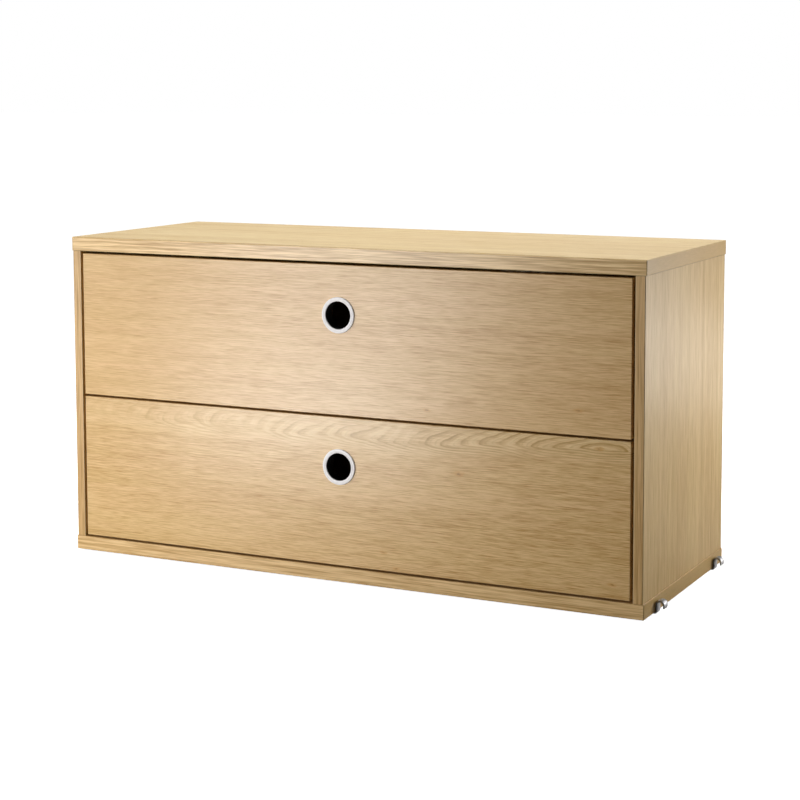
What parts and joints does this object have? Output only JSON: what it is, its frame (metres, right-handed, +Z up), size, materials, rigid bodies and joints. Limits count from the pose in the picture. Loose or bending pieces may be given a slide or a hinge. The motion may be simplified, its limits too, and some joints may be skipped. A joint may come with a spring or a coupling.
{
  "type": "drawer cabinet",
  "caption": "Low rectangular oak cabinet with inset sliding drawers, round ringed finger holes and steel hangers that drop over the rungs of a shelving frame.",
  "frame": {"origin": "on the ground under the middle of the cabinet, level with the underside of its hanger tabs", "axes": "+X to the right along the front, +Y from the front to the back, +Z up"},
  "size_m": [0.802, 0.3014, 0.412],
  "materials": {
    "oak_veneer": "satin lacquered light oak veneer",
    "birch_plywood": "lacquered birch",
    "zinc_steel": "bright zinc plate",
    "white_steel": "white powder coat",
    "white_nylon": "natural nylon",
    "pale_ring": "pale grey satin lacquer",
    "black_plastic": "black moulded plastic"
  },
  "bodies": {
    "cabinet": {"top_panel": "oak_veneer", "bottom_panel": "oak_veneer", "left_side_panel": "oak_veneer", "right_side_panel": "oak_veneer", "back_panel": "oak_veneer", "side_tongues": "birch_plywood", "front_left_hanger": "zinc_steel", "front_right_hanger": "zinc_steel", "rear_left_hanger": "zinc_steel", "rear_right_hanger": "zinc_steel", "lower_left_cabinet_runner": "white_steel", "lower_right_cabinet_runner": "white_steel", "upper_left_cabinet_runner": "white_steel", "upper_right_cabinet_runner": "white_steel"},
    "lower_drawer": {"lower_front": "oak_veneer", "lower_grip_ring": "pale_ring", "lower_grip_sleeve": "black_plastic", "lower_left_drawer_side": "birch_plywood", "lower_right_drawer_side": "birch_plywood", "lower_drawer_back": "birch_plywood", "lower_drawer_bottom": "birch_plywood", "lower_left_drawer_runner": "white_steel", "lower_right_drawer_runner": "white_steel"},
    "lower_left_front_roller": {"lower_left_front_roller": "white_nylon"},
    "lower_left_rear_roller": {"lower_left_rear_roller": "white_nylon"},
    "lower_right_front_roller": {"lower_right_front_roller": "white_nylon"},
    "lower_right_rear_roller": {"lower_right_rear_roller": "white_nylon"},
    "upper_drawer": {"upper_front": "oak_veneer", "upper_grip_ring": "pale_ring", "upper_grip_sleeve": "black_plastic", "upper_left_drawer_side": "birch_plywood", "upper_right_drawer_side": "birch_plywood", "upper_drawer_back": "birch_plywood", "upper_drawer_bottom": "birch_plywood", "upper_left_drawer_runner": "white_steel", "upper_right_drawer_runner": "white_steel"},
    "upper_left_front_roller": {"upper_left_front_roller": "white_nylon"},
    "upper_left_rear_roller": {"upper_left_rear_roller": "white_nylon"},
    "upper_right_front_roller": {"upper_right_front_roller": "white_nylon"},
    "upper_right_rear_roller": {"upper_right_rear_roller": "white_nylon"}
  },
  "joints": [
    {"name": "lower_drawer_slide", "type": "slide", "parent": "cabinet", "child": "lower_drawer", "axis": [0, -1, 0], "range_m": [0, 0.2]},
    {"name": "lower_left_front_roller_spin", "type": "hinge", "parent": "cabinet", "child": "lower_left_front_roller", "pos_m": [-0.3721, -0.11925, 0.0475], "axis": [1, 0, 0], "continuous": true},
    {"name": "lower_left_rear_roller_spin", "type": "hinge", "parent": "lower_drawer", "child": "lower_left_rear_roller", "pos_m": [-0.3699, 0.10595, 0.05], "axis": [1, 0, 0], "continuous": true},
    {"name": "lower_right_front_roller_spin", "type": "hinge", "parent": "cabinet", "child": "lower_right_front_roller", "pos_m": [0.3721, -0.11925, 0.0475], "axis": [1, 0, 0], "continuous": true},
    {"name": "lower_right_rear_roller_spin", "type": "hinge", "parent": "lower_drawer", "child": "lower_right_rear_roller", "pos_m": [0.3699, 0.10595, 0.05], "axis": [1, 0, 0], "continuous": true},
    {"name": "upper_drawer_slide", "type": "slide", "parent": "cabinet", "child": "upper_drawer", "axis": [0, -1, 0], "range_m": [0, 0.2]},
    {"name": "upper_left_front_roller_spin", "type": "hinge", "parent": "cabinet", "child": "upper_left_front_roller", "pos_m": [-0.3721, -0.11925, 0.233], "axis": [1, 0, 0], "continuous": true},
    {"name": "upper_left_rear_roller_spin", "type": "hinge", "parent": "upper_drawer", "child": "upper_left_rear_roller", "pos_m": [-0.3699, 0.10595, 0.2355], "axis": [1, 0, 0], "continuous": true},
    {"name": "upper_right_front_roller_spin", "type": "hinge", "parent": "cabinet", "child": "upper_right_front_roller", "pos_m": [0.3721, -0.11925, 0.233], "axis": [1, 0, 0], "continuous": true},
    {"name": "upper_right_rear_roller_spin", "type": "hinge", "parent": "upper_drawer", "child": "upper_right_rear_roller", "pos_m": [0.3699, 0.10595, 0.2355], "axis": [1, 0, 0], "continuous": true}
  ],
  "couplings": [
    {"joint": "lower_left_front_roller_spin", "follows": "lower_drawer_slide", "rad_per_m": 113.64},
    {"joint": "lower_left_rear_roller_spin", "follows": "lower_drawer_slide", "rad_per_m": 88.496},
    {"joint": "lower_right_front_roller_spin", "follows": "lower_drawer_slide", "rad_per_m": 113.64},
    {"joint": "lower_right_rear_roller_spin", "follows": "lower_drawer_slide", "rad_per_m": 88.496},
    {"joint": "upper_left_front_roller_spin", "follows": "upper_drawer_slide", "rad_per_m": 113.64},
    {"joint": "upper_left_rear_roller_spin", "follows": "upper_drawer_slide", "rad_per_m": 88.496},
    {"joint": "upper_right_front_roller_spin", "follows": "upper_drawer_slide", "rad_per_m": 113.64},
    {"joint": "upper_right_rear_roller_spin", "follows": "upper_drawer_slide", "rad_per_m": 88.496}
  ]
}
